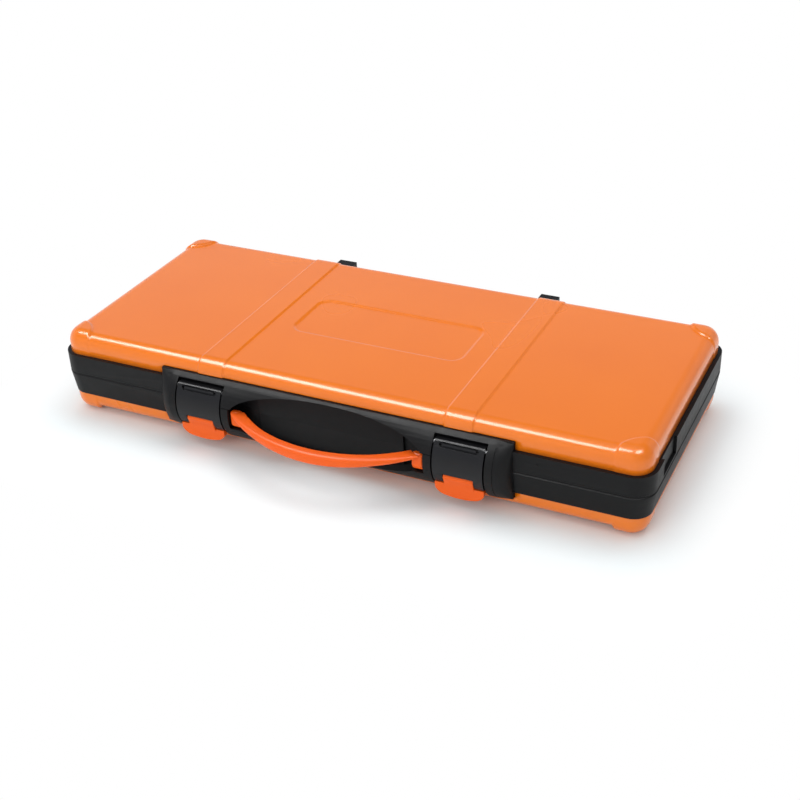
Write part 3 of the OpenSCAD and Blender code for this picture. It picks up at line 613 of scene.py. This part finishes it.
def bellied_paddle(mesh):
    """Rounds a paddle's lower edge: z' = M + (z - M)(1 - PADDLE_LIFT u^2) below M = PADDLE_MID.

    u = 2 |x - middle| / PADDLE_W. Upright cuts first give the straight edge points to move.
    """
    work = bmesh.new()
    work.from_mesh(mesh)
    bmesh.ops.remove_doubles(work, verts=work.verts, dist=SAME_POINT)
    middle = 0.5 * (min(v.co.x for v in work.verts) + max(v.co.x for v in work.verts))
    for step in np.linspace(-PADDLE_CUT_SPAN, PADDLE_CUT_SPAN, PADDLE_CUTS):
        bmesh.ops.bisect_plane(work, geom=work.verts[:] + work.edges[:] + work.faces[:],
                               plane_co=(middle + step * PADDLE_W * MM, 0.0, 0.0),
                               plane_no=(1.0, 0.0, 0.0))
    work.to_mesh(mesh)
    work.free()
    points = case_points(mesh)
    across = np.abs(points[:, 0] - middle / MM) / (0.5 * PADDLE_W)
    below = np.minimum(points[:, 2] - PADDLE_MID, 0.0)
    points[:, 2] = points[:, 2] - below * PADDLE_LIFT * across ** 2
    set_points(mesh, points)


RESHAPED = {"black_plastic": drawn_out_ends, "latch_plastic": deeper_slot,
            "orange_plastic": bellied_paddle}


def softened(node_name, piece_name, body, slot, width):
    """A moulding with its CAD form and broken edges: flat faces joined, sharp edges rounded."""
    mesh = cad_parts[node_name].data.copy()
    mesh.name = piece_name
    mesh.materials.clear()
    if slot in RESHAPED:
        RESHAPED[slot](mesh)
    work = bmesh.new()
    work.from_mesh(mesh)
    bmesh.ops.remove_doubles(work, verts=work.verts, dist=SAME_POINT)
    bmesh.ops.dissolve_limit(work, angle_limit=np.radians(SAME_FACE), verts=work.verts,
                             edges=work.edges, delimit=set())
    work.to_mesh(mesh)
    work.free()
    mesh.shade_smooth()
    mesh.set_sharp_from_angle(angle=np.radians(SHARP_EDGE))
    piece = bpy.data.objects.new(piece_name, mesh)
    bpy.context.scene.collection.objects.link(piece)
    rounding = piece.modifiers.new("broken_edges", "BEVEL")
    rounding.width = width * MM
    rounding.segments = EDGE_STEPS
    rounding.limit_method = "ANGLE"
    rounding.angle_limit = np.radians(SHARP_EDGE)
    rounding.harden_normals = True
    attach(piece, body)
    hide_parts(node_name)
    return piece


def bow(half, near, crest, x):
    """Depth at x of the arc through (half, near) with its crest at (0, crest).

    With sag = near - crest: R = (half^2 + sag^2) / (2 sag), y = crest + R - sqrt(R^2 - x^2).
    """
    sag = near - crest
    radius = (half ** 2 + sag ** 2) / (2.0 * sag)
    return crest + radius - np.sqrt(radius ** 2 - x ** 2)


def round_section(half_u, half_v, radius, steps=7):
    """Rounded rectangles, one a row: corner middles (half - r) plus r (cos a, sin a) once round."""
    turn = np.radians(np.linspace(0.0, 90.0, steps) + 90.0 * np.arange(4)[:, None]).ravel()
    side_u = np.repeat([1.0, -1.0, -1.0, 1.0], steps)
    side_v = np.repeat([1.0, 1.0, -1.0, -1.0], steps)
    u = side_u * (half_u - radius)[:, None] + radius[:, None] * np.cos(turn)
    v = side_v * (half_v - radius)[:, None] + radius[:, None] * np.sin(turn)
    return u, v


def skin(rings, first):
    """Faces over a row of equal closed rings, numbered from first."""
    rows, count = rings.shape[:2]
    start = first + np.arange(rows - 1)[:, None] * count
    here = start + np.arange(count)
    beside = start + (np.arange(count) + 1) % count
    return np.stack([here, beside, beside + count, here + count], -1).reshape(-1, 4)


def with_poles(rings):
    """Closes a row of rings at both ends with a ring drawn together to one point."""
    ends = rings[[0, -1]]
    poles = ends.mean(1, keepdims=True) + 0 * ends
    return np.concatenate([poles[:1], rings, poles[1:]])


def bow_rings():
    """The handle's bow: rounded sections between its two arcs, thinner towards the arms.

    At share t the section spans from (ARM_IN t, inner arc) to (HANDLE_HALF t, outer arc), and its
    underside rises by R - sqrt(R^2 - x^2). Both ends draw in to a pole inside the arms.
    """
    share = np.sin(np.linspace(-1.0, 1.0, BOW_SECTIONS) * np.pi / 2) * BOW_REACH
    arm_in = HANDLE_HALF - ARM_W
    outer_x, inner_x = HANDLE_HALF * share, arm_in * share
    outer = np.stack([outer_x, bow(HANDLE_HALF, ARM_OUT, GRIP_OUT, outer_x)], -1)
    inner = np.stack([inner_x, bow(arm_in, HANDLE_Y, GRIP_IN, inner_x)], -1)
    middle, half_w = (outer + inner) / 2, np.linalg.norm(outer - inner, axis=1) / 2
    across = (outer - inner) / (2 * half_w[:, None])
    half_t = (HANDLE_T - bow(arm_in, HANDLE_ARCH, 0.0, middle[:, 0])) / 2
    radius = np.minimum(HANDLE_EDGE, BOW_ROUND * half_t)
    u, v = round_section(half_w, half_t, radius)
    flat = middle[:, None, :] + u[..., None] * across[:, None, :]
    rings = np.concatenate([flat, (HANDLE_TOP - half_t)[:, None, None] + v[..., None]], -1)
    return with_poles(rings)


def arm_rings(side):
    """One downward arm: level sections from its rounded top to the round of its pivot boss.

    Down to the pivot the front is straight and below it follows the boss, y = Y - sqrt(r^2 - z^2);
    the back follows the boss where that reaches further than the straight arm.
    """
    sweep = np.linspace(0.0, np.pi, ARM_SECTIONS)
    depth = (HANDLE_TOP - HANDLE_Z + BOSS_R) * (1 - np.cos(sweep)) / 2
    level = HANDLE_TOP - depth
    boss = np.sqrt(np.maximum(BOSS_R ** 2 - (level - HANDLE_Z) ** 2, 0.0))
    front = np.where(level > HANDLE_Z, ARM_OUT, HANDLE_Y - boss)
    back = HANDLE_Y + boss
    tip = np.minimum(depth, ARM_EDGE)
    inset = ARM_EDGE - np.sqrt(ARM_EDGE ** 2 - (ARM_EDGE - tip) ** 2)
    half_x = ARM_W / 2 - ARM_SLIM - inset
    half_y = np.maximum((back - front) / 2 - inset, ARM_LEAST)
    radius = ARM_ROUND * np.minimum(ARM_EDGE, np.minimum(half_x, half_y))
    u, v = round_section(half_x, half_y, radius)
    x = HANDLE_HALF - ARM_W / 2 + ARM_SHIFT + u
    rings = np.stack([side * x, (front + back)[:, None] / 2 + v, level[:, None] + 0 * u], -1)
    return with_poles(rings)


def moulded_handle(name, body):
    """The handle in one piece: the bow and the two arms that it runs into."""
    parts = [bow_rings(), arm_rings(-1.0), arm_rings(1.0)]
    points, faces, first = [], [], 0
    for rings in parts:
        points.append(rings.reshape(-1, 3))
        faces.append(skin(rings, first))
        first += len(points[-1])
    piece = mesh_object(name, np.concatenate(points), faces, body)
    work = bmesh.new()
    work.from_mesh(piece.data)
    bmesh.ops.dissolve_degenerate(work, edges=work.edges, dist=1e-7)
    bmesh.ops.recalc_face_normals(work, faces=work.faces)
    work.to_mesh(piece.data)
    work.free()
    piece.data.shade_smooth()
    piece.data.set_sharp_from_angle(angle=np.radians(HANDLE_SHARP_EDGE))
    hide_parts("handle")
    return piece


# ---------------------------------------------------------------- the case

enamel = gloss_enamel_on_steel()
orange_abs = moulded_orange_abs()
black_pp = grained_black_polypropylene()
black_nylon = polished_black_nylon()
tray_sheet = vacuum_formed_tray_sheet()
zinc = zinc_plated_steel()
foam_cells = closed_cell_foam()

# Grid lines, closer where the bands, the plaque and the corner pads bend the sheet
lid_x = graded((0, 50, 6), (50, 61.5, 0.6), (61.5, 74, 4), (74, 76.2, 0.28), (76.2, 91.8, 4),
               (91.8, 94, 0.28), (94, NOTCH_HALF, 5), (NOTCH_HALF, 174, 6), (174, 186, 0.6))
lid_y = graded((0, 13.5, 3), (13.5, 24.5, 0.6), (24.5, 59, 5), (59, 71, 0.6))
base_x = graded((0, NOTCH_HALF, 7), (NOTCH_HALF, 174, 6), (174, 186, 0.6))
base_y = graded((0, 59, 6), (59, 71, 0.6))

lid_sheet = pressed_shell("lid_pressing", LID_TOP, LID_SKIRT, LID_NOTCH, lid_relief,
                          lid_x, lid_y, "lid")
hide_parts("lid_shell")
lid_sheet.data.materials.append(enamel)
base_sheet = pressed_shell("base_pressing", BASE_BOTTOM, BASE_SKIRT, BASE_NOTCH, base_relief,
                           base_x, base_y, "base")
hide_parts("base_shell")
base_sheet.data.materials.append(enamel)

foam = foam_slab("lid_foam_pad", "lid")
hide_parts("lid_foam")
foam.data.materials.append(foam_cells)

MOULDINGS = [
    ("lid_frame", "lid_belt_frame", "lid", "black_plastic", 0.5, black_pp),
    ("base_frame", "base_belt_frame", "base", "black_plastic", 0.5, black_pp),
    ("tool_tray", "formed_tray", "base", "tray_plastic", 0.6, tray_sheet),
    ("latch_plate_left", "left_latch_plate", "latch_left", "latch_plastic", 0.22, black_nylon),
    ("latch_plate_right", "right_latch_plate", "latch_right", "latch_plastic", 0.22, black_nylon),
    ("release_tab_left", "left_release_tab", "tab_left", "orange_plastic", 0.6, orange_abs),
    ("release_tab_right", "right_release_tab", "tab_right", "orange_plastic", 0.6, orange_abs),
]
for cad_name, piece_name, body, slot, width, finish in MOULDINGS:
    moulding = softened(cad_name, piece_name, body, slot, width)
    moulding.data.materials.append(finish)

handle = moulded_handle("bow_handle", "handle_body")
handle.data.materials.append(orange_abs)

STEEL_NODES = ["base_rivets", "lid_rivets", "handle_pin_left", "handle_pin_right",
               "latch_pin_left", "latch_pin_right", "tab_pin_left", "tab_pin_right",
               "hinge_pin_left", "hinge_pin_right"]
for cad_name in STEEL_NODES:
    for cad_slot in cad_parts[cad_name].material_slots:
        cad_slot.material = zinc


# ---------------------------------------------------------------- table, light and camera

def table_top():
    """A flat disc of table: rings r = TABLE_R t^2, so that the rings are finer inside."""
    count, last = TABLE_STEPS, TABLE_RINGS * TABLE_STEPS
    ring = TABLE_R * np.linspace(0.0, 1.0, TABLE_RINGS + 1)[1:] ** 2
    turn = np.linspace(0.0, 2 * np.pi, count + 1)[:-1]
    points = np.stack([ring[:, None] * np.cos(turn), ring[:, None] * np.sin(turn),
                       np.full((TABLE_RINGS, count), -TABLE_LOW)], -1).reshape(-1, 3)
    points = np.concatenate([points, [[0.0, 0.0, -TABLE_LOW]]])
    here, beside = np.arange(count), (np.arange(count) + 1) % count
    start = np.arange(TABLE_RINGS - 1)[:, None] * count
    quads = np.stack([start + here, start + here + count, start + beside + count,
                      start + beside], -1).reshape(-1, 4)
    inner = np.stack([np.full(count, last), here, beside], -1)
    mesh = bpy.data.meshes.new("table_top")
    mesh.from_pydata((points * MM).tolist(), [], quads.tolist() + inner.tolist())
    top = bpy.data.objects.new("table_top", mesh)
    bpy.context.scene.collection.objects.link(top)
    top.data.materials.append(white_table())


def lamp(name, kind, energy, where, towards, mirrored=True, **shape):
    """One lamp at a place, looking at another; mirrored False keeps it out of reflections."""
    data = bpy.data.lights.new(name, kind)
    data.energy = energy
    for field, value in shape.items():
        setattr(data, field, value)
    made = bpy.data.objects.new(name, data)
    bpy.context.scene.collection.objects.link(made)
    made.location = where
    made.rotation_euler = (Vector(towards) - Vector(where)).to_track_quat("-Z", "Y").to_euler()
    made.visible_glossy = mirrored
    return made


def studio_world(fill, walls, ceiling):
    """Even soft light of strength fill, plain white to the camera.

    Reflections show cool pale walls, dimmer on the right, below a dark ceiling.
    """
    world = bpy.data.worlds.new("studio")
    bpy.context.scene.world = world
    world.use_nodes = True
    tree = world.node_tree
    tree.nodes.clear()
    path = node(tree, "LightPath")
    plain = node(tree, "Math", {0: path.outputs["Is Camera Ray"],
                                1: path.outputs["Is Transmission Ray"]}, operation="MAXIMUM")
    way = node(tree, "SeparateXYZ", {0: node(tree, "TexCoord").outputs["Generated"]})
    side = blend(tree, way.outputs["X"], DIM_SIDE, walls, DIM_SHARE * walls)
    room = blend(tree, way.outputs["Z"], WALL_TOP, side, ceiling)
    soft = node(tree, "Background", {"Color": linear("#FFFFFF"), "Strength": fill})
    glow = node(tree, "Background", {"Color": linear("#EEF2FC"), "Strength": room})
    white = node(tree, "Background", {"Color": linear("#FFFFFF"), "Strength": 1.0})
    some = node(tree, "MixShader", {0: path.outputs["Is Glossy Ray"], 1: soft.outputs[0],
                                    2: glow.outputs[0]})
    every = node(tree, "MixShader", {0: plain.outputs[0], 1: some.outputs[0],
                                     2: white.outputs[0]})
    output = node(tree, "OutputWorld")
    tree.links.new(every.outputs[0], output.inputs[0])


def photo_camera():
    """The photograph's camera: back = (sin a cos e, -cos a cos e, sin e), rolled about itself."""
    a, e, r = np.radians([CAMERA_AZIMUTH, CAMERA_ELEVATION, CAMERA_ROLL])
    back = np.array([np.sin(a) * np.cos(e), -np.cos(a) * np.cos(e), np.sin(e)])
    level = np.cross([0.0, 0.0, 1.0], back)
    level /= np.linalg.norm(level)
    upward = np.cross(back, level)
    right = np.cos(r) * level + np.sin(r) * upward
    up = -np.sin(r) * level + np.cos(r) * upward
    where = np.array(CAMERA_TARGET) + back * CAMERA_DISTANCE
    data = bpy.data.cameras.new("photo_camera")
    data.lens = CAMERA_LENS
    data.sensor_width = 36.0
    made = bpy.data.objects.new("photo_camera", data)
    bpy.context.scene.collection.objects.link(made)
    turned = np.stack([right, up, back], 1)
    made.matrix_world = Matrix([[*row, at] for row, at in zip(turned, where)] + [[0, 0, 0, 1]])
    bpy.context.scene.camera = made


table_top()
studio_world(fill=0.62, walls=0.85, ceiling=0.05)
lamp("overhead_softbox", "AREA", 6.0, (0.0, 0.25, 1.1), (0.0, 0.0, 0.0), mirrored=False,
     shape="RECTANGLE", size=1.3, size_y=0.6)
lamp("key", "SUN", 0.35, (-0.8, -0.3, 1.6), (0.0, 0.0, 0.0), mirrored=False, angle=0.5)
lamp("front_fill", "AREA", 4.6, (-0.3, -1.1, 0.5), (0.0, 0.0, 0.0), mirrored=False,
     shape="SQUARE", size=0.8)
# Two long panes overhead that show only in reflections and add no even light
for name, across, width in (("left_pane", -0.45, 1.0), ("right_pane", 0.55, 0.6)):
    pane = lamp(name, "AREA", 18.0 * width, (across, -0.36, 1.0), (across * 0.6, -0.1, 0.0),
                shape="RECTANGLE", size=width, size_y=0.36)
    pane.visible_diffuse = False
photo_camera()

bpy.context.scene.view_settings.view_transform = "Standard"
